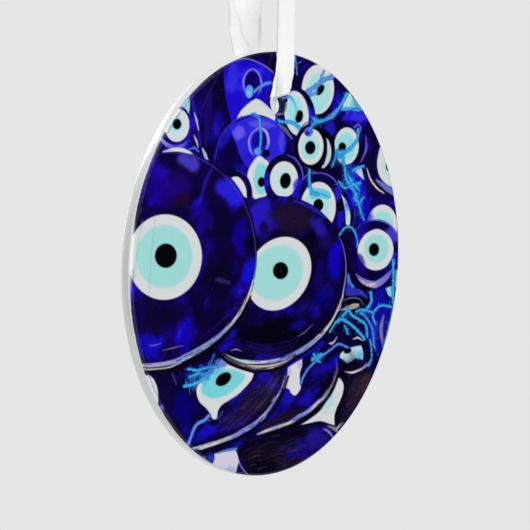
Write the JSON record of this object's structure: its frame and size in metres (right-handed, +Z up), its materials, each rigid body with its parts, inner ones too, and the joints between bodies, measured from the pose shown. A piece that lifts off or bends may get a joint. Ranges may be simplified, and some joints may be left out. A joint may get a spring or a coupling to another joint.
{
  "type": "hanging evil eye ornament",
  "caption": "Flat oval ceramic ornament with a picture of blue glass eye beads on its front, hung by a white satin ribbon loop through a hole near its top.",
  "frame": {"origin": "inside top of the ribbon loop, under the knot, where a hook or a twig carries the ornament", "axes": "the picture faces -Y, +X runs along the plate's width to the viewer's right, +Z is up"},
  "size_m": [0.07, 0.0229, 0.1867],
  "materials": {
    "ceramic": "clear gloss glaze over white porcelain",
    "picture": "glossy printed picture in blues, white and black",
    "satin": "soft satin sheen"
  },
  "bodies": {
    "knot": {"ribbon_knot": "satin", "ribbon_tail_left": "satin", "ribbon_tail_right": "satin"},
    "ribbon": {"ribbon_front_strand": "satin", "ribbon_rear_strand": "satin"},
    "bight": {"ribbon_bight": "satin"},
    "ornament": {"ceramic_plate": "ceramic", "picture_layer": "picture"}
  },
  "joints": [
    {"name": "ribbon_twist", "type": "hinge", "parent": "knot", "child": "ribbon", "pos_m": [0, 0, 0], "axis": [0, 0, 1], "range_deg": [-90, 90]},
    {"name": "ornament_tilt", "type": "hinge", "parent": "ribbon", "child": "bight", "pos_m": [0, 0, -0.086], "axis": [1, 0, 0], "range_deg": [-12, 0.5]},
    {"name": "ornament_swing", "type": "hinge", "parent": "bight", "child": "ornament", "pos_m": [0, 0, -0.086], "axis": [0, 1, 0], "range_deg": [-30, 30]}
  ]
}
